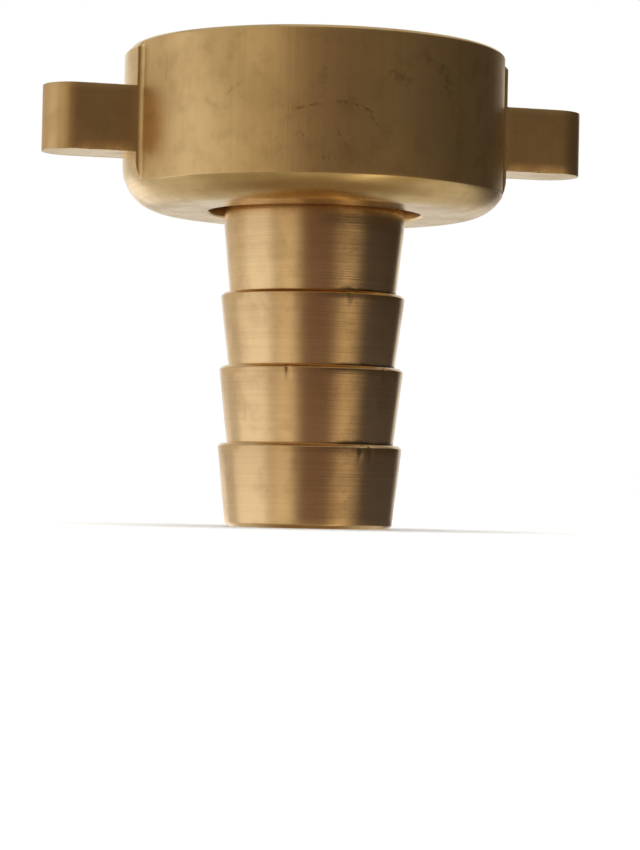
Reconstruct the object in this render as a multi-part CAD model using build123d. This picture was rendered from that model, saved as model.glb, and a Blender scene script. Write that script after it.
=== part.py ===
from build123d import *
from math import hypot, radians, tan
import os

# Swivel hose tail: a barbed tail held loosely inside a winged union nut.
# Millimetres. +Z runs up the common axis, the tail's free end stands on z = 0,
# and the nut's two wings lie along X.

# ------------------------------------------------------------------ driving sizes
# Hose tail, turned from one bar
tail_bore_dia = 10.0  # water way, right through
tail_wall = 1.6  # wall at the foot of a barb
barb_rise = 0.7  # how far a crest stands above the foot, per side
crest_chamfer = 0.25  # broken edge on top of each crest
end_barb_length = 6.6
middle_barb_length = 6.1
upper_barb_length = 5.8
shank_length = 5.3  # taper between the top step and the neck
tip_wall = 1.65  # wall at the narrow end of the end barb
tip_chamfer = 0.3
neck_wall = 2.15
neck_reveal = 1.1  # plain neck that shows below the nut
bore_chamfer = 0.3

# Internal union thread of the nut, 3/4 inch pipe size
thread_major_dia = 26.44
thread_pitch = 1.814
thread_depth_factor = 0.6403  # depth of a 55 degree thread over its pitch
thread_length = 6.2
thread_flank_angle = 27.5  # between a flank and a plane square to the axis
thread_flat_share = 1 / 6  # flat at crest and root over the pitch
thread_cut_inset = 0.15  # how far the groove cutter starts inside the minor size
mouth_chamfer = 1.1
relief_clearance = 0.13  # relief groove beyond the major size, per side
relief_corner_radius = 0.6

# Nut body and wings
nut_wall = 1.55  # wall outside the relief groove
turned_step = 0.45  # what the turning leaves proud of the bar beside the wings
foot_radius = 3.4  # rounded lower corner
rim_edge = 0.2  # broken outer edge at the mouth
lip_thickness = 1.9  # floor that carries the tail's collar
lip_edge = 0.15  # broken edge of the hole through the floor
wing_drop = 0.6  # straight wall between the rounded corner and the wings
wing_height = 5.15
wing_thickness = 5.2
wing_projection = 7.1
wing_tip_radius = 2.5
wing_root_radius = 0.5  # inside corner between a wing and the round wall

# Clearances and the seal
neck_clearance = 1.3  # neck in the floor's hole, per side
collar_clearance = 0.86  # collar inside the thread, per side
collar_thickness = 2.2
collar_chamfer = 0.3
swivel_play = 0.25  # collar above the floor
washer_thickness = 2.25
washer_snap = 0.2  # washer beyond the minor size, per side
washer_seat = 2.5  # washer's hole beyond the water way, per side
cut_margin = 1.0  # how far a cutting tool overruns a face

# ------------------------------------------------------------------ derived places
bore_r = tail_bore_dia / 2
root_r = bore_r + tail_wall
crest_r = root_r + barb_rise
tip_r = bore_r + tip_wall
neck_r = bore_r + neck_wall

end_step_z = end_barb_length
middle_step_z = end_step_z + middle_barb_length
upper_step_z = middle_step_z + upper_barb_length
neck_z = upper_step_z + shank_length

nut_face_z = neck_z + neck_reveal
floor_z = nut_face_z + lip_thickness
collar_z = floor_z + swivel_play
washer_z = collar_z + collar_thickness
thread_z = washer_z + washer_thickness
mouth_z = thread_z + thread_length

thread_major_r = thread_major_dia / 2
thread_minor_r = thread_major_r - thread_depth_factor * thread_pitch
relief_r = thread_major_r + relief_clearance
nut_r = relief_r + nut_wall
turned_r = nut_r + turned_step
wing_reach = nut_r + wing_projection
wing_low_z = nut_face_z + foot_radius + wing_drop
wing_high_z = wing_low_z + wing_height
lip_hole_r = neck_r + neck_clearance
collar_r = thread_minor_r - collar_clearance


def turned(outline):
    """Solid of revolution about Z from a closed outline drawn as (radius, height)."""
    return revolve(Plane.XZ * outline, Axis.Z)


def build_hose_tail():
    """Barbs, neck and collar, with the water way bored through."""
    points = [(bore_r + bore_chamfer, 0), (tip_r - tip_chamfer, 0), (tip_r, tip_chamfer)]
    for step_z in (end_step_z, middle_step_z, upper_step_z):
        points.append((crest_r, step_z - crest_chamfer))
        points.append((crest_r - crest_chamfer, step_z))
        points.append((root_r, step_z))
    points.append((neck_r, neck_z))
    points.append((neck_r, collar_z))
    points.append((collar_r - collar_chamfer, collar_z))
    points.append((collar_r, collar_z + collar_chamfer))
    points.append((collar_r, washer_z - collar_chamfer))
    points.append((collar_r - collar_chamfer, washer_z))
    points.append((bore_r + bore_chamfer, washer_z))
    points.append((bore_r, washer_z - bore_chamfer))
    points.append((bore_r, bore_chamfer))
    return turned(make_face(Polyline(*points, close=True)))


def build_winged_bar():
    """Bar with two flat wings, as it comes before turning."""
    tip_radius = min(wing_tip_radius, 0.49 * wing_thickness)
    wings = RectangleRounded(2 * wing_reach, wing_thickness, tip_radius)
    section = Circle(nut_r) + wings
    roots = [v for v in section.vertices() if abs(hypot(v.X, v.Y) - nut_r) < 0.01]
    section = fillet(roots, wing_root_radius)
    return extrude(Plane.XY.offset(nut_face_z) * section, mouth_z - nut_face_z)


def build_turned_envelope():
    """Everything that the lathe leaves: foot, wall beside the wings, wing faces and rim."""
    foot_r = turned_r - foot_radius
    foot_centre_z = nut_face_z + foot_radius
    rim_cut = turned_step + rim_edge
    outer_r = wing_reach + cut_margin
    foot = CenterArc((foot_r, foot_centre_z), foot_radius, -90, 90)
    side = Polyline(
        foot @ 1,
        (turned_r, wing_low_z),
        (outer_r, wing_low_z),
        (outer_r, wing_high_z),
        (turned_r, wing_high_z),
        (turned_r, mouth_z - rim_cut),
        (turned_r - rim_cut, mouth_z),
        (0, mouth_z),
        (0, nut_face_z),
        foot @ 0,
    )
    return turned(make_face([foot, side]))


def build_nut_cavity():
    """Hole for the neck, relief groove, bore at the minor size of the thread and chamfered mouth."""
    points = [
        (0, nut_face_z - cut_margin),
        (lip_hole_r + lip_edge + cut_margin, nut_face_z - cut_margin),
        (lip_hole_r, nut_face_z + lip_edge),
        (lip_hole_r, floor_z),
        (relief_r, floor_z),
        (relief_r, thread_z),
        (thread_minor_r, thread_z),
        (thread_minor_r, mouth_z - mouth_chamfer),
        (thread_minor_r + mouth_chamfer + cut_margin, mouth_z + cut_margin),
        (0, mouth_z + cut_margin),
    ]
    outline = make_face(Polyline(*points, close=True))
    corner = outline.vertices().sort_by_distance((relief_r, floor_z))[0]
    return turned(fillet(corner, relief_corner_radius))


def build_thread_grooves():
    """Grooves of the union thread as separate rings, each with the thread's own section."""
    slope = tan(radians(thread_flank_angle))
    crest_flat = thread_flat_share * thread_pitch
    inner_r = thread_minor_r - thread_cut_inset
    root_half = crest_flat / 2
    inner_half = root_half + slope * (thread_major_r - inner_r)
    groove_half = (thread_pitch - crest_flat) / 2
    room = thread_length - mouth_chamfer - crest_flat - groove_half
    grooves = []
    for turn in range(int(room / thread_pitch) + 1):
        middle_z = thread_z + crest_flat + groove_half + turn * thread_pitch
        section = Polyline(
            (inner_r, middle_z - inner_half),
            (thread_major_r, middle_z - root_half),
            (thread_major_r, middle_z + root_half),
            (inner_r, middle_z + inner_half),
            close=True,
        )
        grooves.append(turned(make_face(section)))
    return grooves


def build_swivel_nut():
    """Union nut: the winged bar, turned outside, bored inside and threaded."""
    blank = build_winged_bar() & build_turned_envelope()
    return blank - build_nut_cavity() - build_thread_grooves()


def build_sealing_washer():
    """Flat washer, snapped in under the thread and lying on the tail's collar."""
    outer_r = thread_minor_r + washer_snap
    inner_r = bore_r + washer_seat
    ring = Circle(outer_r) - Circle(inner_r)
    return extrude(Plane.XY.offset(washer_z) * ring, washer_thickness)


parts = {
    "hose_tail": build_hose_tail(),
    "swivel_nut": build_swivel_nut(),
    "sealing_washer": build_sealing_washer(),
}

os.makedirs("parts", exist_ok=True)
for node, shape in parts.items():
    export_step(shape, f"parts/{node}.step")
    print(f"{node}: {shape.volume:.1f} mm3, {len(shape.solids())} solid")

print(f"thread minor radius {thread_minor_r:.4f}, thread from z {thread_z:.3f} to {mouth_z:.3f}")
print(f"collar z {collar_z:.3f}, washer z {washer_z:.3f}, nut face z {nut_face_z:.3f}")
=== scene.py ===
import logging
import math
from dataclasses import dataclass
from enum import Enum
from functools import cached_property
from typing import Any, Callable, Mapping, Optional, Sequence, Union

import bmesh
import bpy
import numpy as np
from mathutils import Matrix, Vector, noise


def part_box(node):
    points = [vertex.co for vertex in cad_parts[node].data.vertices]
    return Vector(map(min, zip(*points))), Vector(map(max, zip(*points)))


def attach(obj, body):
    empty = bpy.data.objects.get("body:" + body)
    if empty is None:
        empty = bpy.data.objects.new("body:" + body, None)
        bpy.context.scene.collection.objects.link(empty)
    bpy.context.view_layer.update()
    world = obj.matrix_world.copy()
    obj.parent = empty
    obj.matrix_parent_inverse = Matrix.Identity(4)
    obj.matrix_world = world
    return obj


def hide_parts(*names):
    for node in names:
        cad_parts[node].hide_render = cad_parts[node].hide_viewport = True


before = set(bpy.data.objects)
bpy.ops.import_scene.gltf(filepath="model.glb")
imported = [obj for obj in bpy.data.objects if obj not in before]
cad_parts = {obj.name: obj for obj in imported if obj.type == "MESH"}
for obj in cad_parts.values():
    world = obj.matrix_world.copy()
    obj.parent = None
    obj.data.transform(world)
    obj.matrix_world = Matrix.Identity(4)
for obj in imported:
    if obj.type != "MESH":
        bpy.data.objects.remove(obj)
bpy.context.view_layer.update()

# Swivel hose tail: a barbed brass tail held in a winged union nut, with a rubber washer inside.
# The classes of the fitting hold their sizes in millimetres, and the frame and the meshes are in metres.

LOG = logging.getLogger("swivel_hose_tail")
MM = 0.001
PICTURE_HEIGHT = 850
FOCAL_PIXELS = 2865

Value = Union[float, int, Sequence[float], "Signal"]
Row = tuple[float, float]
Colour = tuple[float, float, float]


# ---------------------------------------------------------------- shader graphs


class Signal:
    """One output of a shader graph. Arithmetic on it adds Math nodes to the graph."""

    def __init__(self, graph: "Graph", socket: bpy.types.NodeSocket) -> None:
        """Wraps a socket.

        Args:
            graph: The graph that the socket belongs to.
            socket: The output socket.
        """
        self.graph = graph
        self.socket = socket

    def __add__(self, other: Value) -> "Signal":
        """Sum of this value and another."""
        return self.graph.math("ADD", self, other)

    def __radd__(self, other: Value) -> "Signal":
        """Sum with a plain number on the left."""
        return self.graph.math("ADD", other, self)

    def __sub__(self, other: Value) -> "Signal":
        """Difference from another value."""
        return self.graph.math("SUBTRACT", self, other)

    def __rsub__(self, other: Value) -> "Signal":
        """A plain number less this value."""
        return self.graph.math("SUBTRACT", other, self)

    def __mul__(self, other: Value) -> "Signal":
        """Product with another value."""
        return self.graph.math("MULTIPLY", self, other)

    def __rmul__(self, other: Value) -> "Signal":
        """Product with a plain number on the left."""
        return self.graph.math("MULTIPLY", other, self)

    def __truediv__(self, other: Value) -> "Signal":
        """Quotient by another value."""
        return self.graph.math("DIVIDE", self, other)

    def __rtruediv__(self, other: Value) -> "Signal":
        """A plain number over this value."""
        return self.graph.math("DIVIDE", other, self)

    def __neg__(self) -> "Signal":
        """This value with its sign changed."""
        return self.graph.math("MULTIPLY", self, -1.0)

    def __abs__(self) -> "Signal":
        """This value without its sign."""
        return self.graph.math("ABSOLUTE", self)

    def clamped(self) -> "Signal":
        """This value held between 0 and 1."""
        return self.graph.math("MAXIMUM", self.graph.math("MINIMUM", self, 1.0), 0.0)

    def rise(self, low: float, high: float) -> "Signal":
        """Smooth step over this value.

        Args:
            low: Where the result leaves 0. It may be above high, and then the step falls.
            high: Where the result reaches 1.

        Returns:
            A value from 0 to 1.
        """
        ends = {"From Min": low, "From Max": high, "To Min": 0.0, "To Max": 1.0}
        return self.graph.node(
            "ShaderNodeMapRange",
            {"interpolation_type": "SMOOTHSTEP"},
            {"Value": self, **ends},
            "Result",
        )


class Graph:
    """Nodes of one material or world, each made from its type, settings and inputs."""

    def __init__(self, tree: bpy.types.NodeTree) -> None:
        """Empties a node tree and works in it.

        Args:
            tree: The tree of a material or world that uses nodes.
        """
        self.tree = tree
        self.tree.nodes.clear()

    def node(
        self,
        kind: str,
        settings: Optional[Mapping[str, Any]] = None,
        inputs: Optional[Mapping[Union[str, int], Any]] = None,
        output: Union[str, int] = 0,
    ) -> "Signal":
        """Adds a node.

        Args:
            kind: The node's type name.
            settings: Its properties, set first.
            inputs: Values or signals, by the name or number of the socket.
            output: The name or number of the wanted output.

        Returns:
            The wanted output.
        """
        made = self.tree.nodes.new(kind)
        for name, value in (settings or {}).items():
            setattr(made, name, value)
        for name, value in (inputs or {}).items():
            if isinstance(value, Signal):
                self.tree.links.new(value.socket, made.inputs[name])
            else:
                made.inputs[name].default_value = value
        return Signal(self, made.outputs[output] if made.outputs else None)

    def math(self, operation: str, *values: Value) -> Signal:
        """Adds a Math node.

        Args:
            operation: The node's operation.
            values: Its operands.

        Returns:
            The result.
        """
        return self.node("ShaderNodeMath", {"operation": operation}, dict(enumerate(values)))

    def vector(self, operation: str, *values: Value) -> Signal:
        """Adds a Vector Math node.

        Args:
            operation: The node's operation.
            values: Its operands.

        Returns:
            The resulting vector, or the number of a dot product.
        """
        output = "Value" if operation in ("DOT_PRODUCT", "LENGTH") else "Vector"
        return self.node("ShaderNodeVectorMath", {"operation": operation}, dict(enumerate(values)), output)

    def stretched(self, place: Signal, factors: Sequence[float]) -> Signal:
        """A vector with each part multiplied by its own factor."""
        return self.vector("MULTIPLY", place, tuple(factors))

    def parts(self, place: Signal) -> tuple[Signal, Signal, Signal]:
        """The x, y and z of a vector.

        Args:
            place: The vector.

        Returns:
            Its three parts.
        """
        split = self.node("ShaderNodeSeparateXYZ", None, {0: place})
        outputs = split.socket.node.outputs
        return Signal(self, outputs[0]), Signal(self, outputs[1]), Signal(self, outputs[2])

    def joined(self, x: Value, y: Value, z: Value) -> Signal:
        """A vector from three numbers."""
        return self.node("ShaderNodeCombineXYZ", None, {0: x, 1: y, 2: z})

    def front_and_side(self, x: Signal, y: Signal, heading: float) -> tuple[Signal, Signal]:
        """Turns the level parts of a place or direction to face the camera.

        Args:
            x: Its part along X.
            y: Its part along Y.
            heading: Heading of the view, in degrees to the right of +Y.

        Returns:
            Its part towards the camera and its part to the right.
        """
        turn = math.radians(heading)
        return x * -math.sin(turn) - y * math.cos(turn), x * math.cos(turn) - y * math.sin(turn)

    def bearing(self, x: Signal, y: Signal, heading: float) -> Signal:
        """Angle from the line towards the camera, in radians to the right.

        Args:
            x: The part of a place or direction along X.
            y: Its part along Y.
            heading: Heading of the view, in degrees to the right of +Y.

        Returns:
            The angle, from -pi to pi.
        """
        near, aside = self.front_and_side(x, y, heading)
        return self.math("ARCTAN2", aside, near)

    def noise(self, place: Signal, scale: float, detail: float = 3.0, rough: float = 0.5) -> Signal:
        """Smooth noise from 0 to 1.

        Args:
            place: Where it is read, as a vector.
            scale: Bumps for each unit of length.
            detail: Number of finer layers.
            rough: How strong the finer layers are.

        Returns:
            The noise value.
        """
        inputs = {"Vector": place, "Scale": scale, "Detail": detail, "Roughness": rough}
        return self.node("ShaderNodeTexNoise", {"noise_dimensions": "3D"}, inputs, "Fac")

    def blend(self, share: Value, first: Value, second: Value) -> Signal:
        """A colour between two colours.

        Args:
            share: How much of the second colour, from 0 to 1.
            first: The colour at 0.
            second: The colour at 1.

        Returns:
            The mixed colour.
        """
        inputs = {0: share, 6: as_colour(first), 7: as_colour(second)}
        return self.node("ShaderNodeMix", {"data_type": "RGBA"}, inputs, 2)

    def place_mm(self) -> Signal:
        """The point on the piece in its own frame, in millimetres."""
        own = self.node("ShaderNodeTexCoord", None, None, "Object")
        return self.stretched(own, (1 / MM,) * 3)


def as_colour(value: Value) -> Value:
    """Gives a plain colour its fourth part, and passes a signal through.

    Args:
        value: A colour with three or four parts, or a signal.

    Returns:
        The colour with four parts, or the signal.
    """
    if isinstance(value, Signal) or len(value) == 4:
        return value
    return (*value, 1.0)


# ---------------------------------------------------------------- finishes


@dataclass(frozen=True)
class Mark:
    """A dark scratch or stain on the nut's wall.

    Attributes:
        bearing: Where it sits round the axis, in degrees from the middle of the front wall.
        height: How far above the nut's lower face it sits, in millimetres.
        length: Its half length along the wall, in millimetres.
        width: Its half width, in millimetres.
        slope: How steeply it climbs, in degrees.
        bend: How much it curves, per millimetre.
        depth: How dark it is, from 0 to 1.
    """

    bearing: float
    height: float
    length: float
    width: float
    slope: float
    bend: float
    depth: float


@dataclass(frozen=True)
class Finish:
    """Base of the finishes: makes the material and its principled shader.

    Attributes:
        name: The material's name.
    """

    name: str

    def material(self) -> bpy.types.Material:
        """Builds the material.

        Returns:
            The new material.
        """
        made = bpy.data.materials.new(self.name)
        made.use_nodes = True
        graph = Graph(made.node_tree)
        surface = self.surface(graph)
        graph.node("ShaderNodeOutputMaterial", None, {"Surface": surface})
        return made

    def surface(self, graph: Graph) -> Signal:
        """Builds the shader.

        Args:
            graph: The material's graph.

        Returns:
            The shader's output.
        """
        raise NotImplementedError


@dataclass(frozen=True)
class Brass(Finish):
    """What the brass finishes share.

    Attributes:
        clean: Colour of the bare metal.
        tarnish: Colour of the duller patches.
        roughness: Mean roughness.
        spread: How far the roughness varies either way.
        relief: Depth of the surface texture, in metres.
        dirt_and_shade: Colour of the dirt in the nut's marks, and of the painted shade at the foot of the
            tail's tapers.
    """

    clean: Colour = (0.79, 0.53, 0.24)
    tarnish: Colour = (0.50, 0.31, 0.12)
    roughness: float = 0.3
    spread: float = 0.06
    relief: float = 4e-6
    dirt_and_shade: Colour = (0.12, 0.075, 0.03)

    def metal(self, graph: Graph, colour: Signal, rough: Signal, height: Signal) -> Signal:
        """The principled shader of a brass surface.

        Args:
            graph: The material's graph.
            colour: Base colour.
            rough: Roughness.
            height: Texture height, in units of the relief.

        Returns:
            The shader's output.
        """
        normal = graph.node(
            "ShaderNodeBump", None, {"Strength": 1.0, "Distance": self.relief, "Height": height}
        )
        inputs = {"Base Color": colour, "Metallic": 1.0, "Roughness": rough, "Normal": normal}
        return graph.node("ShaderNodeBsdfPrincipled", None, inputs)


@dataclass(frozen=True)
class DrawnBrass(Brass):
    """Satin skin of the winged bar: tumbled, mottled and scratched.

    Attributes:
        marks: Dark scratches and stains.
        front: Heading of the middle of the front wall, in degrees.
        face_height: Height of the nut's lower face, in millimetres.
        wall_radius: Radius of the wall, in millimetres.
        wing_start: Distance from the axis where the wings begin, in millimetres.
        wing_tone: Browner colour that the wings lean to.
    """

    marks: tuple[Mark, ...] = ()
    front: float = 0.0
    face_height: float = 0.0
    wall_radius: float = 15.0
    wing_start: float = 16.0
    wing_tone: Colour = (0.56, 0.33, 0.14)

    def surface(self, graph: Graph) -> Signal:
        """Mottled satin brass with faint drawing lines, stains and scratches.

        Args:
            graph: The material's graph.

        Returns:
            The shader's output.
        """
        place = graph.place_mm()
        x, y, z = graph.parts(place)
        patches = graph.noise(place, 0.16, 4.0, 0.55).rise(0.36, 0.66)
        blotches = graph.noise(place, 0.55, 5.0, 0.6).rise(0.45, 0.72)
        grain = graph.noise(place, 5.5, 3.0, 0.6)
        lines = graph.noise(graph.stretched(place, (2.4, 2.4, 0.05)), 1.0, 3.0, 0.6)
        dirt_and_shade = self._marks(graph, place, x, y, z)
        wing = graph.vector("LENGTH", graph.joined(x, y, 0.0)).rise(self.wing_start, self.wing_start + 0.6)

        dull = patches * 0.38 + blotches * 0.3 + (1 - grain) * 0.16 + (lines - 0.5) * 0.3
        colour = graph.blend(dull.clamped(), self.clean, self.tarnish)
        colour = graph.blend(wing * 0.35, colour, self.wing_tone)
        colour = graph.blend(dirt_and_shade, colour, self.dirt_and_shade)
        rough = self.roughness + (patches - 0.5 + grain - 0.5) * self.spread + dirt_and_shade * 0.12
        height = grain * 0.5 + lines * 0.9 + blotches * 0.5 - dirt_and_shade * 1.5
        return self.metal(graph, colour, rough, height)

    def _marks(self, graph: Graph, place: Signal, x: Signal, y: Signal, z: Signal) -> Signal:
        """Sum of the dark marks on the front wall.

        Args:
            graph: The material's graph.
            place: The point, in millimetres.
            x: Its part along X.
            y: Its part along Y.
            z: Its height.

        Returns:
            How dark the marks make the point, from 0 to 1.
        """
        along = graph.bearing(x, y, self.front) * self.wall_radius
        ragged = graph.noise(place, 1.3, 3.0, 0.6) - 0.5
        broken = graph.noise(place, 2.6, 2.0, 0.5).rise(0.34, 0.6)
        total: Value = 0.0
        for mark in self.marks:
            slope = math.radians(mark.slope)
            across = along - math.radians(mark.bearing) * self.wall_radius
            above = z - (self.face_height + mark.height)
            run = across * math.cos(slope) + above * math.sin(slope)
            off = above * math.cos(slope) - across * math.sin(slope)
            off = off - run * run * mark.bend + ragged * 0.35
            near = abs(run).rise(mark.length, mark.length * 0.5) * abs(off).rise(mark.width * 1.5, 0.0)
            total = near * mark.depth + total
        return (total * broken).clamped()


@dataclass(frozen=True)
class TurnedNutBrass(Brass):
    """Brighter brass where the nut was turned: foot, faces, rim and inside.

    Attributes:
        ring_pitch: Feed marks for each millimetre.
    """

    ring_pitch: float = 5.0

    def surface(self, graph: Graph) -> Signal:
        """Semi-bright brass with faint feed rings and a light tarnish.

        Args:
            graph: The material's graph.

        Returns:
            The shader's output.
        """
        place = graph.place_mm()
        x, y, z = graph.parts(place)
        radius = graph.vector("LENGTH", graph.joined(x, y, 0.0))
        sweep = graph.joined(radius, z, 0.0)
        rings = graph.noise(sweep, self.ring_pitch, 2.0, 0.6)
        patches = graph.noise(place, 0.28, 4.0, 0.6).rise(0.4, 0.7)
        grain = graph.noise(place, 6.0, 2.0, 0.5)
        dull = patches * 0.45 + (1 - grain) * 0.12 + (rings - 0.5) * 0.2
        colour = graph.blend(dull.clamped(), self.clean, self.tarnish)
        rough = self.roughness + (patches - 0.5 + rings - 0.5) * self.spread
        return self.metal(graph, colour, rough, rings * 0.7 + grain * 0.3)


@dataclass(frozen=True)
class TurnedTailBrass(Brass):
    """Semi-bright turned brass of the tail, with fine tool rings, painted shade above the steps and a
    painted highlight at the foot of each barb.

    Attributes:
        steps: Heights of the steps, in millimetres.
        shank: Length of the taper above the top step, in millimetres.
        front: Heading of the front of the tail, in degrees.
    """

    steps: tuple[float, ...] = ()
    shank: float = 5.5
    front: float = 0.0

    def surface(self, graph: Graph) -> Signal:
        """Turned brass with tool rings, scratches and small stains, with painted shade above the steps and
        a painted highlight at the foot of each barb.

        Args:
            graph: The material's graph.

        Returns:
            The shader's output.
        """
        place = graph.place_mm()
        x, y, z = graph.parts(place)
        bearing = graph.bearing(x, y, self.front)
        fine = graph.noise(graph.stretched(place, (0.12, 0.12, 9.0)), 1.0, 3.0, 0.65)
        broad = graph.noise(graph.stretched(place, (0.07, 0.07, 2.2)), 1.0, 2.0, 0.5)
        cloud = graph.noise(place, 0.45, 4.0, 0.6).rise(0.42, 0.7)
        specks = graph.noise(place, 2.1, 3.0, 0.6).rise(0.66, 0.8)
        wisps = abs(graph.noise(place, 0.9, 4.0, 0.55) - 0.5).rise(0.016, 0.0) * cloud
        painted_step_shade = self._painted_step_shade(graph, place, bearing, z)

        scored = bearing.rise(0.02, 0.2) * bearing.rise(0.75, 0.55)
        streaks = (fine - 0.5) * (scored * 0.75 + 0.5) + (broad - 0.5) * 0.3
        # Painted highlight: the _height_up_barb term makes each barb lighter at its foot and darker
        # towards its crest.
        dull = cloud * 0.26 - streaks + specks * 0.4 + wisps * 0.35 + self._height_up_barb(z) * 0.34
        colour = graph.blend(dull.clamped(), self.clean, self.tarnish)
        # Painted shade: the foot of each taper is darkened, most on the shaded right side.
        colour = graph.blend(painted_step_shade, colour, self.dirt_and_shade)
        rough = self.roughness + (cloud - 0.5 + fine - 0.5) * self.spread + painted_step_shade * 0.15
        height = fine * (scored * 0.8 + 0.8) + broad * 0.5 - wisps * 0.5 - specks * 0.1
        return self.metal(graph, colour, rough, height)

    def _height_up_barb(self, z: Signal) -> Signal:
        """How far up its barb a point lies, from 0 at the foot to 1 under the crest.

        Args:
            z: The point's height.

        Returns:
            A value from 0 to 1, which starts again above each step.
        """
        total: Value = z.rise(0.0, self.steps[0])
        for low, high in zip(self.steps, self.steps[1:] + (self.steps[-1] + self.shank,)):
            total = total - z.rise(low - 0.02, low + 0.02) + z.rise(low, high)
        return total

    def _painted_step_shade(self, graph: Graph, place: Signal, bearing: Signal, z: Signal) -> Signal:
        """Painted shade at the foot of each taper, thicker on the shaded right of the front.

        Args:
            graph: The material's graph.
            place: The point, in millimetres.
            bearing: Its bearing from the front, in radians.
            z: Its height.

        Returns:
            How dark the painted shade is, from 0 to 1.
        """
        uneven = graph.noise(place, 0.8, 3.0, 0.6)
        # The painted shade is strongest on the right of the front, the shaded side.
        side = bearing.rise(0.1, 0.5) * bearing.rise(2.7, 1.9) * 0.75 + 0.25
        reach = uneven * 0.9 - 0.12
        total: Value = 0.0
        for step in self.steps:
            above = z - step
            total = (above / (reach * side + 0.02)).rise(1.0, 0.2) * above.rise(-0.02, 0.02) + total
        return (total * side * 0.85).clamped()


@dataclass(frozen=True)
class MouldedRubber(Finish):
    """Black rubber with a dull moulded skin and dusty patches.

    Attributes:
        black: Colour of the clean rubber.
        dust: Colour of the dusty patches.
    """

    black: Colour = (0.016, 0.016, 0.017)
    dust: Colour = (0.06, 0.058, 0.055)

    def surface(self, graph: Graph) -> Signal:
        """Dark, slightly mottled rubber.

        Args:
            graph: The material's graph.

        Returns:
            The shader's output.
        """
        place = graph.place_mm()
        dusty = graph.noise(place, 0.8, 5.0, 0.6).rise(0.45, 0.75)
        grain = graph.noise(place, 9.0, 3.0, 0.6)
        colour = graph.blend(dusty * 0.5, self.black, self.dust)
        rough = 0.62 + dusty * 0.15 + (grain - 0.5) * 0.1
        normal = graph.node("ShaderNodeBump", None, {"Strength": 0.6, "Distance": 2e-5, "Height": grain})
        inputs = {"Base Color": colour, "Roughness": rough, "Normal": normal}
        return graph.node("ShaderNodeBsdfPrincipled", None, inputs)


@dataclass(frozen=True)
class StagePaint(Finish):
    """Plain matt paint of the floor.

    Attributes:
        colour: Its colour.
    """

    colour: Colour = (0.86, 0.86, 0.86)

    def surface(self, graph: Graph) -> Signal:
        """A plain diffuse surface."""
        return graph.node("ShaderNodeBsdfDiffuse", None, {"Color": as_colour(self.colour)})


@dataclass(frozen=True)
class StageGlow(Finish):
    """Evenly lit backdrop.

    Attributes:
        strength: Its brightness.
    """

    strength: float = 1.0

    def surface(self, graph: Graph) -> Signal:
        """A plain emitting surface."""
        return graph.node("ShaderNodeEmission", None, {"Color": (1, 1, 1, 1), "Strength": self.strength})


# ---------------------------------------------------------------- mesh tools


class Skin(Enum):
    """Which finish a face of the nut takes, as the number of its material slot."""

    DRAWN = 0
    TURNED = 1


def arc(centre: Row, radius: float, start: float, end: float, steps: int) -> list[Row]:
    """Points on an arc.

    Args:
        centre: Its centre.
        radius: Its radius.
        start: First angle, in degrees.
        end: Last angle, in degrees.
        steps: Number of spans.

    Returns:
        The points, both ends among them.
    """
    angles = np.radians(np.linspace(start, end, steps + 1))
    return [(centre[0] + radius * math.cos(a), centre[1] + radius * math.sin(a)) for a in angles]


def spaced(first: Row, last: Row, spans: int) -> list[Row]:
    """Points on a straight line, the first left out and the last kept.

    Args:
        first: Where the line starts.
        last: Where it ends.
        spans: Number of spans.

    Returns:
        The end of each span.
    """
    shares = np.linspace(0.0, 1.0, spans + 1)[1:]
    return [(first[0] + (last[0] - first[0]) * s, first[1] + (last[1] - first[1]) * s) for s in shares]


def closed_grid(rings: np.ndarray) -> bmesh.types.BMesh:
    """Closed surface through rings of points, each joined to the next and the last to the first.

    Args:
        rings: Points as an array of ring, point in the ring, and x, y, z.

    Returns:
        The surface, with equal points merged and its normals outward.
    """
    made = bmesh.new()
    count, length = rings.shape[:2]
    vertices = [[made.verts.new(point) for point in ring] for ring in rings]
    for i in range(count):
        upper, lower = vertices[i], vertices[(i + 1) % count]
        for j in range(length):
            k = (j + 1) % length
            made.faces.new((upper[j], upper[k], lower[k], lower[j]))
    bmesh.ops.remove_doubles(made, verts=made.verts, dist=2e-7)
    bmesh.ops.dissolve_degenerate(made, edges=made.edges, dist=1e-7)
    bmesh.ops.recalc_face_normals(made, faces=made.faces)
    return made


def turned_surface(outline: Sequence[Row], columns: int) -> bmesh.types.BMesh:
    """Turns a closed outline round the axis.

    Args:
        outline: Its points as radius and height, in millimetres.
        columns: Number of points round the axis.

    Returns:
        The closed surface, in metres.
    """
    angles = np.linspace(0.0, 2 * math.pi, columns, endpoint=False)
    rings = [[(r * math.cos(a), r * math.sin(a), z) for a in angles] for r, z in outline]
    return closed_grid(np.array(rings) * MM)


def soften_edges(
    surface: bmesh.types.BMesh,
    width: float,
    chosen: Callable[[Vector], bool],
    least: float = 24.0,
) -> None:
    """Rounds the sharp outer edges of a surface a little.

    Args:
        surface: The surface, changed in place.
        width: How far the rounding reaches on each side, in metres.
        chosen: Says whether an edge with this middle is rounded.
        least: Smallest turn of a sharp edge, in degrees.
    """
    turn = math.radians(least)
    sharp = [
        e
        for e in surface.edges
        if len(e.link_faces) == 2
        and e.is_convex
        and e.calc_face_angle() > turn
        and chosen((e.verts[0].co + e.verts[1].co) / 2)
    ]
    bmesh.ops.bevel(
        surface,
        geom=sharp,
        offset=width,
        offset_type="OFFSET",
        segments=2,
        profile=0.5,
        affect="EDGES",
        clamp_overlap=False,
        material=-1,
    )


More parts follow.
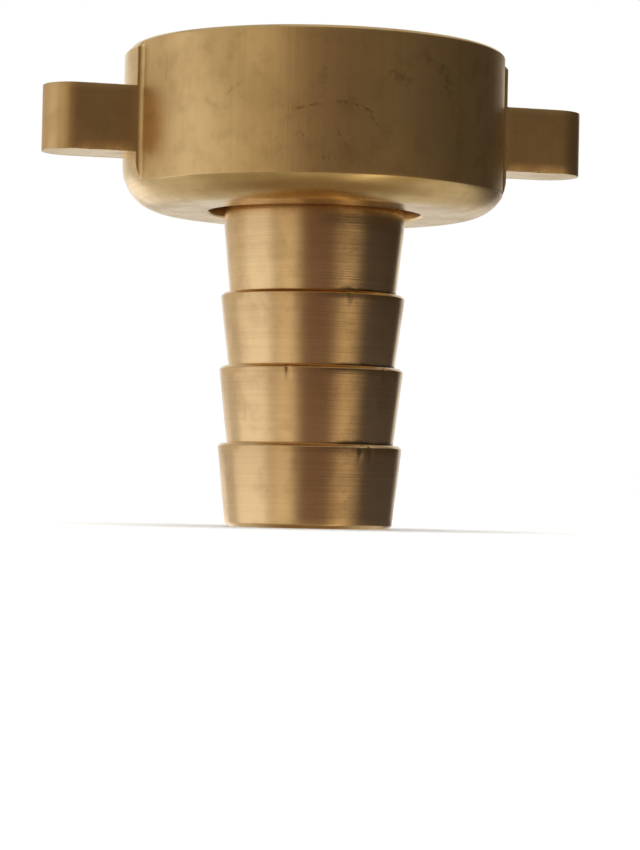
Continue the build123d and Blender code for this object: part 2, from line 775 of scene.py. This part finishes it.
def finished_object(
    name: str,
    surface: bmesh.types.BMesh,
    finishes: Sequence[bpy.types.Material],
    crease: float = 38.0,
) -> bpy.types.Object:
    """Turns a surface into a smooth-shaded object.

    Args:
        name: The object's name.
        surface: The surface, freed afterwards.
        finishes: Its materials, in the order of the slots.
        crease: Turn above which an edge stays crisp, in degrees.

    Returns:
        The new object, linked to the scene.
    """
    mesh = bpy.data.meshes.new(name)
    surface.to_mesh(mesh)
    surface.free()
    for finish in finishes:
        mesh.materials.append(finish)
    mesh.polygons.foreach_set("use_smooth", [True] * len(mesh.polygons))
    mesh.set_sharp_from_angle(angle=math.radians(crease))
    made = bpy.data.objects.new(name, mesh)
    bpy.context.scene.collection.objects.link(made)
    LOG.info("%s: %d faces", name, len(mesh.polygons))
    return made


# ---------------------------------------------------------------- the fitting


@dataclass
class Piece:
    """A piece of the fitting.

    Attributes:
        name: Name of the object.
        node: CAD node that it stands for.
        body: Body that it rides on.
        slot: Name of a material slot for its finish; not used.
    """

    name: str
    node: str
    body: str
    slot: str

    def surface(self) -> bmesh.types.BMesh:
        """Builds the surface of the piece.

        Returns:
            The closed surface, in metres.
        """
        raise NotImplementedError

    def finishes(self) -> list[bpy.types.Material]:
        """Builds the materials of the piece, in the order of its slots."""
        raise NotImplementedError

    def build(self) -> bpy.types.Object:
        """Makes the object and ties it to the frame.

        Returns:
            The finished object.
        """
        made = finished_object(self.name, self.surface(), self.finishes())
        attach(made, self.body)
        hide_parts(self.node)
        LOG.info("%s rides on %s and stands for %s", self.name, self.body, self.node)
        return made


@dataclass
class HoseTail(Piece):
    """Turned tail with barbs, neck, collar and bore. Sizes in millimetres.

    Attributes:
        bore: Radius of the water way.
        root: Radius at the foot of a barb.
        crest: Radius over the crests.
        tip: Radius at the free end.
        neck: Radius of the plain neck.
        collar: Radius of the collar inside the nut.
        barbs: Lengths of the barbs from the free end up.
        shank: Length of the taper above the top step.
        collar_low: Height of the collar's lower face.
        crest_edge: Broken edge on top of a crest.
        end_edge: Broken edge of the free end, the bore and the collar.
        foot_edge: Small chamfer where a taper meets its step, as radius and height.
        broken_edge: Rounding of all sharp edges.
        waviness: How uneven the crests are.
        columns: Number of points round the axis.
        front: Heading of the view that the nicks' bearings start from, in degrees.
        nicks: Small dents as bearing in degrees, height, radius and depth.
    """

    bore: float = 5.0
    root: float = 6.6
    crest: float = 7.3
    tip: float = 6.65
    neck: float = 7.15
    collar: float = 11.1985
    barbs: tuple[float, ...] = (6.6, 6.1, 5.8)
    shank: float = 5.3
    collar_low: float = 27.05
    crest_edge: float = 0.25
    end_edge: float = 0.3
    foot_edge: Row = (0.06, 0.05)
    broken_edge: float = 0.045
    waviness: float = 0.012
    columns: int = 360
    front: float = 15.0
    nicks: tuple[tuple[float, float, float, float], ...] = (
        (41.0, 6.32, 0.22, 0.16),
        (33.0, 6.38, 0.14, 0.10),
        (-14.0, 12.44, 0.16, 0.10),
        (24.0, 18.18, 0.20, 0.10),
        (52.0, 12.40, 0.18, 0.12),
        (-100.0, 6.35, 0.2, 0.12),
        (150.0, 12.4, 0.25, 0.14),
        (215.0, 18.1, 0.2, 0.12),
    )

    @cached_property
    def steps(self) -> tuple[float, ...]:
        """Heights of the steps, from the lowest."""
        return tuple(float(h) for h in np.cumsum(self.barbs))

    @cached_property
    def top(self) -> float:
        """Height of the collar's upper face, from the frame."""
        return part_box(self.node)[1].z / MM

    def outline(self) -> list[Row]:
        """Closed outline as radius and height, from the free end outward and up.

        Returns:
            The points, in millimetres.
        """
        rows: list[Row] = [(self.bore + self.end_edge, 0.0), (self.tip - self.end_edge, 0.0)]
        foot: Row = (self.tip, self.end_edge)
        rows.append(foot)
        for step in self.steps:
            rows += spaced(foot, (self.crest, step - self.crest_edge), 9)
            rows.append((self.crest - self.crest_edge, step))
            rows.append((self.root + self.foot_edge[0], step))
            foot = (self.root, step + self.foot_edge[1])
            rows.append(foot)
        neck_foot = (self.neck, self.steps[-1] + self.shank)
        rows += spaced(foot, neck_foot, 8)
        rows += spaced(neck_foot, (self.neck, self.collar_low), 3)
        rows.append((self.collar - self.end_edge, self.collar_low))
        rows.append((self.collar, self.collar_low + self.end_edge))
        rows.append((self.collar, self.top - self.end_edge))
        rows.append((self.collar - self.end_edge, self.top))
        rows += spaced(rows[-1], (self.bore + self.end_edge, self.top), 4)
        rows.append((self.bore, self.top - self.end_edge))
        rows += spaced(rows[-1], (self.bore, self.end_edge), 6)
        return rows

    def surface(self) -> bmesh.types.BMesh:
        """Turns the outline round the axis, breaks the edges and adds wear.

        Returns:
            The tail's surface.
        """
        made = turned_surface(self.outline(), self.columns)
        soften_edges(made, self.broken_edge * MM, lambda middle: True)
        self._wear(made)
        return made

    def _wear(self, surface: bmesh.types.BMesh) -> None:
        """Dents the crests a little and leaves them slightly uneven.

        Args:
            surface: The tail's surface, changed in place.
        """
        nicks = [
            (math.radians(bearing - 90.0 - self.front), height, size, depth)
            for bearing, height, size, depth in self.nicks
        ]
        worn_from = self.root + 0.2
        worn_to = self.steps[-1] + 0.3
        for vertex in surface.verts:
            x, y, z = vertex.co / MM
            radius = math.hypot(x, y)
            if radius < worn_from or z > worn_to:
                continue
            angle = math.atan2(y, x)
            wave = noise.noise(Vector((x * 1.1, y * 1.1, z * 0.8)))
            pull = self.waviness * wave * min(1.0, (radius - worn_from) / 0.4)
            for bearing, height, size, depth in nicks:
                gap = math.remainder(angle - bearing, 2 * math.pi) * radius
                far = math.hypot(gap, z - height) / size
                pull -= depth * math.exp(-far * far)
            vertex.co.x *= 1 + pull / radius
            vertex.co.y *= 1 + pull / radius

    def finishes(self) -> list[bpy.types.Material]:
        """The tail's turned brass.

        Returns:
            The one material.
        """
        brass = TurnedTailBrass(
            "turned_tail_brass",
            clean=(0.80, 0.55, 0.27),
            tarnish=(0.47, 0.29, 0.13),
            roughness=0.24,
            spread=0.06,
            relief=5e-6,
            # Colour of the painted shade at the foot of the tapers.
            dirt_and_shade=(0.07, 0.045, 0.028),
            steps=self.steps,
            shank=self.shank,
            front=self.front,
        )
        return [brass.material()]


@dataclass
class SwivelNut(Piece):
    """Winged union nut with a real thread inside. Sizes in millimetres.

    Attributes:
        lip_hole: Radius of the hole for the neck.
        lip_edge: Broken edge of that hole.
        lip: Thickness of the floor.
        foot: Radius of the rounded lower corner.
        step: What the turning leaves proud of the bar beside the wings.
        rim_edge: Broken edge at the mouth.
        wing_gap: Height of the wings' lower faces above the nut's lower face.
        wing_height: Height of the wings.
        wing_thickness: Thickness of the wings.
        wing_corner: Radius of the wings' upright corners.
        wing_root: Radius of the inside corner between a wing and the wall.
        thread_major: Major radius of the thread.
        thread_minor: Minor radius of the thread.
        pitch: Pitch of the thread.
        thread_low: Height where the thread starts.
        thread_start: Bearing where its cut starts, in degrees from +X.
        runout: How many turns lower its cut starts.
        flat_share: Flat at its crest and root over the pitch.
        rounding: How far its flanks lean to a smooth wave, from 0 to 1.
        thread_rings: Number of rings of points up the thread.
        relief: Radius of the relief groove.
        relief_corner: Radius of the groove's lower corner.
        mouth_edge: Depth of the chamfer in the mouth.
        wall_points: Points on each half of the round wall.
        broken_edge: Rounding of the sharp outer edges.
        burr_height: Height of the burrs on the wings.
        burr_band: How far above the wings' lower edge the burrs pull the metal.
        front: Heading of the view that the marks' bearings start from, in degrees.
    """

    lip_hole: float = 8.45
    lip_edge: float = 0.15
    lip: float = 1.9
    foot: float = 3.4
    step: float = 0.45
    rim_edge: float = 0.2
    wing_gap: float = 4.0
    wing_height: float = 5.15
    wing_thickness: float = 5.2
    wing_corner: float = 2.5
    wing_root: float = 0.5
    thread_major: float = 13.22
    thread_minor: float = 12.0585
    pitch: float = 1.814
    thread_low: float = 31.5
    thread_start: float = 181.0
    runout: float = 0.9
    flat_share: float = 1 / 6
    rounding: float = 0.45
    thread_rings: int = 65
    relief: float = 13.35
    relief_corner: float = 0.6
    mouth_edge: float = 1.1
    wall_points: int = 150
    broken_edge: float = 0.05
    burr_height: float = 0.16
    burr_band: float = 0.3
    front: float = 15.0

    @cached_property
    def low(self) -> float:
        """Height of the lower face, from the frame."""
        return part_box(self.node)[0].z / MM

    @cached_property
    def high(self) -> float:
        """Height of the mouth, from the frame."""
        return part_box(self.node)[1].z / MM

    @cached_property
    def reach(self) -> float:
        """Distance of the wings' tips from the axis, from the frame."""
        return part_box(self.node)[1].x / MM

    @cached_property
    def wall(self) -> float:
        """Radius of the round wall, from the frame."""
        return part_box(self.node)[1].y / MM

    @cached_property
    def turned(self) -> float:
        """Radius of the turned strips beside the wings."""
        return self.wall + self.step

    def bar_outline(self) -> np.ndarray:
        """Closed outline of the winged bar, anticlockwise from the tip of the wing along X.

        Returns:
            The points as an array of x and y.
        """
        half = self.wing_thickness / 2
        inner = half - self.wing_corner
        far = self.wall + self.wing_root
        root_y = half + self.wing_root
        root_x = math.sqrt(far**2 - root_y**2)
        start = math.degrees(math.asin(root_y / far))
        side = spaced((self.reach, 0.0), (self.reach, inner), 3)
        side += arc((self.reach - self.wing_corner, inner), self.wing_corner, 0, 90, 18)[1:]
        side += spaced(side[-1], (root_x, half), 14)
        side += arc((root_x, root_y), self.wing_root, -90, start - 180, 8)[1:]
        front = arc((0.0, 0.0), self.wall, start, 180 - start, self.wall_points)[1:-1]
        upper = side + front + [(-x, y) for x, y in reversed(side)]
        lower = [(x, -y) for x, y in reversed(upper)]
        return np.array([(self.reach, 0.0)] + upper + [(-self.reach, 0.0)] + lower)

    def outer_rows(self) -> list[Row]:
        """Turned outline outside, from the hole's lower edge round to the mouth's edge.

        Returns:
            The points as radius and height, in millimetres.
        """
        foot_r = self.turned - self.foot
        crisp = -math.degrees(math.acos((self.wall - foot_r) / self.foot))
        centre = (foot_r, self.low + self.foot)
        wing_low = self.low + self.wing_gap
        wing_high = wing_low + self.wing_height
        far = self.reach + 1.0
        rows: list[Row] = [(self.lip_hole + self.lip_edge, self.low)]
        rows += spaced(rows[-1], (foot_r, self.low), 3)
        rows += arc(centre, self.foot, -90, crisp, 16)[1:]
        rows += arc(centre, self.foot, crisp, 0, 6)[1:]
        rows.append((self.turned, wing_low))
        rows += spaced(rows[-1], (self.reach, wing_low), 4)
        rows.append((far, wing_low))
        rows += spaced(rows[-1], (far, wing_high), 6)
        rows.append((self.reach, wing_high))
        rows += spaced(rows[-1], (self.turned, wing_high), 4)
        rows += spaced(rows[-1], (self.turned, self.high - self.step - self.rim_edge), 4)
        rows.append((self.wall, self.high - self.rim_edge))
        rows.append((self.wall - self.rim_edge, self.high))
        rows.append((self.thread_minor + self.mouth_edge, self.high))
        return rows

    def inner_rows(self) -> list[Row]:
        """Outline inside below the thread, from the relief groove down through the floor.

        Returns:
            The points as radius and height, in millimetres.
        """
        floor = self.low + self.lip
        corner = (self.relief - self.relief_corner, floor + self.relief_corner)
        rows: list[Row] = [(self.relief, self.thread_low)]
        rows += spaced(rows[-1], (self.relief, corner[1]), 4)
        rows += arc(corner, self.relief_corner, 0, -90, 4)[1:]
        rows += spaced(rows[-1], (self.lip_hole, floor), 4)
        rows += spaced(rows[-1], (self.lip_hole, self.low + self.lip_edge), 2)
        return rows

    def thread_radius(self, angle: np.ndarray, height: float) -> np.ndarray:
        """Radius of the threaded wall.

        Args:
            angle: Angles round the axis, in radians.
            height: Height of the ring.

        Returns:
            The radius at each angle.
        """
        turns = (height - self.thread_low) / self.pitch + self.runout
        phase = np.mod(turns - (angle - math.radians(self.thread_start)) / (2 * math.pi), 1.0)
        flank = np.clip((np.abs(phase - 0.5) - self.flat_share / 2) / (0.5 - self.flat_share), 0.0, 1.0)
        wave = flank * flank * (3 - 2 * flank)
        cut = flank + (wave - flank) * self.rounding
        depth = cut * (self.thread_major - self.thread_minor)
        mouth = self.thread_minor + self.mouth_edge - (self.high - height)
        return np.maximum(self.thread_minor + depth, mouth)

    def surface(self) -> bmesh.types.BMesh:
        """Clips the bar with the turned outline, cuts the thread and breaks the edges.

        Returns:
            The nut's surface.
        """
        outline = self.bar_outline()
        rho = np.hypot(outline[:, 0], outline[:, 1])
        angle = np.arctan2(outline[:, 1], outline[:, 0])
        unit = outline / rho[:, None]

        def ring(radius: Union[float, np.ndarray], z: float) -> np.ndarray:
            """The bar's outline at a height, held within a radius.

            Args:
                radius: The radius, or one for each point of the outline.
                z: The height.

            Returns:
                The ring of points, in millimetres.
            """
            reach = np.minimum(rho, radius)
            return np.column_stack([unit * reach[:, None], np.full(len(rho), z)])

        rings = [ring(r, z) for r, z in self.outer_rows()]
        heights = np.linspace(self.high, self.thread_low, self.thread_rings + 1)[1:]
        rings += [ring(self.thread_radius(angle, z), z) for z in heights]
        rings += [ring(r, z) for r, z in self.inner_rows()]
        made = closed_grid(np.array(rings) * MM)
        self._sort_faces(made)
        soften_edges(made, self.broken_edge * MM, self._is_outer_edge)
        self._raise_burrs(made)
        return made

    def _is_outer_edge(self, middle: Vector) -> bool:
        """Whether an edge belongs to the outside, the rim or the floor, and not to the thread.

        Args:
            middle: The middle of the edge, in metres.

        Returns:
            True for an edge that may be rounded.
        """
        radius = math.hypot(middle.x, middle.y) / MM
        height = middle.z / MM
        threaded = radius < self.relief + 0.05 and self.low + self.lip + 0.3 < height < self.high - 0.02
        return not threaded

    def _sort_faces(self, surface: bmesh.types.BMesh) -> None:
        """Gives the skin of the bar and the turned surfaces their own slots.

        Args:
            surface: The nut's surface, changed in place.
        """
        half = self.wing_thickness / 2
        for face in surface.faces:
            middle = face.calc_center_median() / MM
            radius = math.hypot(middle.x, middle.y)
            upright = abs(face.normal.z) < 0.05
            on_wall = abs(radius - self.wall) < 0.03
            on_wing = radius > self.wall + 0.01 and abs(radius - self.turned) > 0.02
            flank = abs(abs(middle.y) - half) < 0.01 and radius > self.wall - 0.02
            drawn = upright and (on_wall or on_wing or flank)
            face.material_index = (Skin.DRAWN if drawn else Skin.TURNED).value

    def _raise_burrs(self, surface: bmesh.types.BMesh) -> None:
        """Leaves the small burrs of the cut along the lower edges of the wings.

        Args:
            surface: The nut's surface, changed in place.
        """
        edge = self.low + self.wing_gap
        for vertex in surface.verts:
            x, y, z = vertex.co / MM
            beyond = math.hypot(x, y) - self.turned - 0.1
            above = (z - edge) / self.burr_band
            if beyond < 0 or above > 1 or z < edge - 0.01 or abs(y) < self.wing_thickness / 2 - 0.2:
                continue
            coarse = noise.noise(Vector((x * 1.9, y * 0.7, 4.0)))
            rag = coarse + 0.5 * noise.noise(Vector((x * 5.0, y, 9.0)))
            lift = max(0.0, rag - 0.08) * self.burr_height * min(1.0, beyond / 0.5) * (1 - above)
            vertex.co.z += lift * MM
            vertex.co.y -= math.copysign(lift * 0.5 * MM, y)

    def finishes(self) -> list[bpy.types.Material]:
        """The bar's satin skin and the turned brass.

        Returns:
            The materials, in the order of the slots in Skin.
        """
        marks = (
            Mark(-2.2, 6.7, 1.35, 0.13, 12.0, -0.10, 0.55),
            Mark(11.2, 6.9, 2.0, 0.13, -14.0, -0.09, 0.60),
            Mark(7.4, 4.4, 1.25, 0.13, -60.0, 0.10, 0.42),
            Mark(-4.3, 4.5, 0.35, 0.30, 30.0, 0.0, 0.50),
            Mark(3.1, 2.9, 0.40, 0.24, -10.0, 0.0, 0.42),
            Mark(17.0, 5.8, 0.9, 0.16, -50.0, 0.12, 0.35),
            Mark(25.0, 9.2, 1.3, 0.55, -25.0, 0.08, 0.45),
            Mark(41.0, 9.4, 1.7, 0.60, -62.0, 0.05, 0.42),
            Mark(34.0, 10.9, 0.7, 0.35, -40.0, 0.0, 0.45),
            Mark(2.0, 8.6, 1.5, 0.22, 84.0, 0.0, 0.22),
            Mark(-31.0, 6.9, 1.6, 0.25, -25.0, 0.12, 0.20),
            Mark(-25.0, 8.1, 1.2, 0.22, 35.0, -0.12, 0.18),
            Mark(150.0, 8.4, 1.7, 0.16, 14.0, 0.08, 0.50),
            Mark(205.0, 6.2, 1.2, 0.18, -25.0, 0.05, 0.45),
        )
        drawn = DrawnBrass(
            "drawn_nut_brass",
            clean=(0.72, 0.49, 0.22),
            tarnish=(0.46, 0.29, 0.11),
            roughness=0.42,
            spread=0.08,
            relief=1e-5,
            marks=marks,
            front=self.front,
            face_height=self.low,
            wall_radius=self.wall,
            wing_start=self.turned + 0.05,
        )
        turned = TurnedNutBrass(
            "turned_nut_brass",
            clean=(0.80, 0.57, 0.27),
            tarnish=(0.55, 0.37, 0.15),
            roughness=0.3,
            spread=0.08,
            relief=5e-6,
        )
        return [drawn.material(), turned.material()]


@dataclass
class SealingWasher(Piece):
    """Flat rubber washer on the tail's collar. Sizes in millimetres.

    Attributes:
        bore: Radius of its hole.
        edge: Rounding of its edges.
        dish: How far its upper face sinks in the middle.
        columns: Number of points round the axis.
    """

    bore: float = 7.5
    edge: float = 0.2
    dish: float = 0.04
    columns: int = 144

    def surface(self) -> bmesh.types.BMesh:
        """A ring with rounded edges and a slightly dished face.

        Returns:
            The washer's surface.
        """
        lowest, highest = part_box(self.node)
        low, high, outer = lowest.z / MM, highest.z / MM, highest.x / MM
        rows: list[Row] = []
        rows += arc((self.bore + self.edge, low + self.edge), self.edge, 180, 270, 4)
        rows += spaced(rows[-1], (outer - self.edge, low), 3)
        rows += arc((outer - self.edge, low + self.edge), self.edge, -90, 0, 4)[1:]
        rows.append((outer, high - self.edge))
        rows += arc((outer - self.edge, high - self.edge), self.edge, 0, 90, 4)[1:]
        middle = (self.bore + outer) / 2
        rows += spaced(rows[-1], (middle, high - self.dish), 3)
        rows += spaced(rows[-1], (self.bore + self.edge, high), 3)
        rows += arc((self.bore + self.edge, high - self.edge), self.edge, 90, 180, 4)[1:]
        return turned_surface(rows, self.columns)

    def finishes(self) -> list[bpy.types.Material]:
        """The washer's rubber."""
        return [MouldedRubber("moulded_rubber").material()]


# ---------------------------------------------------------------- the studio


@dataclass(frozen=True)
class Panel:
    """A bright or dark part of the studio's surroundings.

    Attributes:
        start: First bearing, in degrees to the right of the line from the fitting to the camera.
        end: Last bearing.
        blur: Half the width of the soft first and last ends, in degrees.
        colour: Its light.
    """

    start: float
    end: float
    blur: tuple[float, float]
    colour: Colour

    def over(self, graph: Graph, bearing: Signal, behind: Value) -> Signal:
        """Lays the panel over the light behind it.

        Args:
            graph: The world's graph.
            bearing: Bearing of the light, in degrees.
            behind: Colour behind the panel.

        Returns:
            The colour with the panel in front.
        """
        share = bearing.rise(self.start - self.blur[0], self.start + self.blur[0])
        share = share * bearing.rise(self.end + self.blur[1], self.end - self.blur[1])
        return graph.blend(share, behind, self.colour)


@dataclass
class Studio:
    """Floor, backdrop and surrounding light.

    Attributes:
        heading: Heading of the camera's view, in degrees to the right of +Y.
        floor_radius: Radius of the floor and the backdrop, in metres.
        level_base: Light from the horizon and a little above it, outside the panels.
        level_panels: Panels at that height.
        table_start: Height of a direction where the light of the table begins, and where it is full.
        table_base: Light from a little below the horizon, outside the panels.
        table_panels: Panels at that height.
        ground_start: Where the light of the ground begins, and where it is full.
        ground_near: Light of the table between the camera and the fitting.
        ground_below: Light of the shaded table right under the fitting.
        ground_far: Light of the table behind the fitting.
        ground_card: Bright sheet on the table, to the right of the camera.
        below_near: Where the shade begins on the camera's side, and where it is full.
        below_far: Where the shade begins on the far side, and where it is full.
        overhead_start: Where the light from above begins, and where it is full.
        overhead: Light from above.
        sun: Strength of the soft light that falls on the floor.
    """

    heading: float
    floor_radius: float = 1.7
    level_base: Colour = (0.062, 0.052, 0.044)
    level_panels: tuple[Panel, ...] = (
        Panel(-30, 10, (10, 32), (0.222, 0.150, 0.112)),  # dark room behind the camera
        Panel(-152, -102, (8, 8), (0.74, 0.70, 0.62)),  # wall on the left
        Panel(-102, -52, (8, 14), (0.94, 0.94, 0.98)),  # window
        Panel(-52, -21, (14, 12), (0.72, 0.645, 0.52)),  # curtain
        Panel(-200, -152, (1, 8), (1.05, 1.04, 1.00)),  # pale backdrop, left
        Panel(152, 200, (8, 1), (0.95, 0.94, 0.90)),  # pale backdrop, right
    )
    table_start: Row = (-0.02, -0.09)
    table_base: Colour = (0.092, 0.083, 0.090)
    table_panels: tuple[Panel, ...] = (
        Panel(-30, 42, (9, 14), (0.20, 0.138, 0.120)),  # dark room behind the camera
        Panel(-136, -114, (8, 9), (0.60, 0.60, 0.60)),  # wall on the left
        Panel(-114, -52, (9, 14), (1.02, 1.02, 1.09)),  # window
        Panel(-52, -19, (14, 12), (0.79, 0.73, 0.63)),  # curtain
        Panel(34, 62, (14, 16), (0.66, 0.55, 0.42)),  # pale card on the right
        Panel(-170, -138, (5, 9), (1.25, 1.25, 1.28)),  # near edge of the backdrop
        Panel(-200, -170, (1, 5), (0.80, 0.80, 0.78)),  # pale backdrop, left
        Panel(161, 200, (7, 1), (0.76, 0.76, 0.74)),  # pale backdrop, right
    )
    ground_start: Row = (-0.30, -0.55)
    ground_near: Colour = (0.40, 0.35, 0.25)
    ground_below: Colour = (0.23, 0.17, 0.105)
    ground_far: Colour = (0.60, 0.58, 0.53)
    ground_card: Panel = Panel(36, 52, (8, 8), (1.26, 1.10, 0.82))
    below_near: Row = (-0.86, -0.97)
    below_far: Row = (-0.70, -0.97)
    overhead_start: Row = (0.35, 0.8)
    overhead: Colour = (0.55, 0.54, 0.52)
    sun: float = 3.0

    def build(self) -> None:
        """Makes the floor, the backdrop, the surroundings and the soft light."""
        self._floor()
        self._backdrop()
        self._surroundings()
        self._light()
        scene = bpy.context.scene
        scene.view_settings.view_transform = "Standard"
        scene.view_settings.look = "None"
        LOG.info("studio built")

    def _floor(self) -> None:
        """A plain pale disc under the fitting, kept out of the metal's reflections."""
        surface = bmesh.new()
        bmesh.ops.create_circle(surface, cap_ends=True, segments=128, radius=self.floor_radius)
        floor = finished_object("studio_floor", surface, [StagePaint("floor_paint").material()])
        floor.visible_glossy = False

    def _backdrop(self) -> None:
        """An even pale dome that only the camera sees."""
        surface = bmesh.new()
        bmesh.ops.create_uvsphere(surface, u_segments=64, v_segments=32, radius=self.floor_radius * 0.99)
        dome = finished_object("studio_backdrop", surface, [StageGlow("backdrop_glow").material()])
        for ray in ("visible_diffuse", "visible_glossy", "visible_transmission", "visible_shadow"):
            setattr(dome, ray, False)

    def _surroundings(self) -> None:
        """Light that depends only on its direction in the room, in zones from level to ground."""
        world = bpy.data.worlds.new("studio_surroundings")
        world.use_nodes = True
        graph = Graph(world.node_tree)
        direction = graph.node("ShaderNodeTexCoord", None, None, "Generated")
        x, y, z = graph.parts(direction)
        toward = graph.front_and_side(x, y, self.heading)[0]
        bearing = graph.bearing(x, y, self.heading) * (180 / math.pi)

        level: Value = self.level_base
        for panel in self.level_panels:
            level = panel.over(graph, bearing, level)
        table: Value = self.table_base
        for panel in self.table_panels:
            table = panel.over(graph, bearing, table)
        near = self.ground_card.over(graph, bearing, self.ground_near)
        near = graph.blend(z.rise(*self.below_near), near, self.ground_below)
        far = graph.blend(z.rise(*self.below_far), self.ground_far, self.ground_below)
        ground = graph.blend(toward.rise(0.05, -0.05), near, far)

        colour = graph.blend(z.rise(*self.table_start), level, table)
        colour = graph.blend(z.rise(*self.ground_start), colour, ground)
        colour = graph.blend(z.rise(*self.overhead_start), colour, self.overhead)
        light = graph.node("ShaderNodeBackground", None, {"Color": colour, "Strength": 1.0})
        graph.node("ShaderNodeOutputWorld", None, {"Surface": light})
        bpy.context.scene.world = world

    def _light(self) -> None:
        """One wide soft light from above that keeps the floor evenly pale."""
        data = bpy.data.lights.new("soft_overhead", "SUN")
        data.energy = self.sun
        data.angle = math.radians(70)
        lamp = bpy.data.objects.new("soft_overhead", data)
        lamp.visible_glossy = False
        bpy.context.scene.collection.objects.link(lamp)


@dataclass
class StudioCamera:
    """Camera close to the floor, looking slightly up. Lengths in millimetres.

    Attributes:
        heading: Heading of the view, in degrees to the right of +Y.
        place: Where it stands.
        pitch: How far it looks up, in degrees.
        roll: How far it leans, in degrees.
        focal: Focal length over the picture's height.
    """

    heading: float
    place: tuple[float, float, float]
    pitch: float
    roll: float
    focal: float

    def build(self) -> None:
        """Makes the camera and sets it as the scene's own."""
        data = bpy.data.cameras.new("studio_camera")
        data.sensor_fit = "AUTO"
        data.sensor_width = 36.0
        data.lens = self.focal * data.sensor_width
        data.clip_start = 0.005
        data.clip_end = 10.0
        camera = bpy.data.objects.new("studio_camera", data)
        bpy.context.scene.collection.objects.link(camera)
        turn = Matrix.Rotation(-math.radians(self.heading), 4, "Z")
        tilt = Matrix.Rotation(math.radians(90 + self.pitch), 4, "X")
        lean = Matrix.Rotation(math.radians(self.roll), 4, "Z")
        camera.matrix_world = Matrix.Translation(Vector(self.place) * MM) @ turn @ tilt @ lean
        bpy.context.scene.camera = camera
        LOG.info("camera at %s mm, heading %.2f degrees", self.place, self.heading)


def main() -> None:
    """Builds the fitting, the studio and the camera."""
    logging.basicConfig(level=logging.INFO, format="%(name)s: %(message)s")
    view_heading = 15.05
    HoseTail("hose_tail_turned", "hose_tail", "tail", "turned_brass", front=view_heading).build()
    SwivelNut("swivel_nut_winged", "swivel_nut", "nut", "tumbled_brass", front=view_heading).build()
    SealingWasher("sealing_washer_flat", "sealing_washer", "nut", "black_rubber").build()
    Studio(view_heading).build()
    StudioCamera(
        heading=view_heading,
        place=(-58.305, -219.890, 2.475),
        pitch=1.439,
        roll=1.238,
        focal=FOCAL_PIXELS / PICTURE_HEIGHT,
    ).build()


if __name__ == "__main__":
    main()
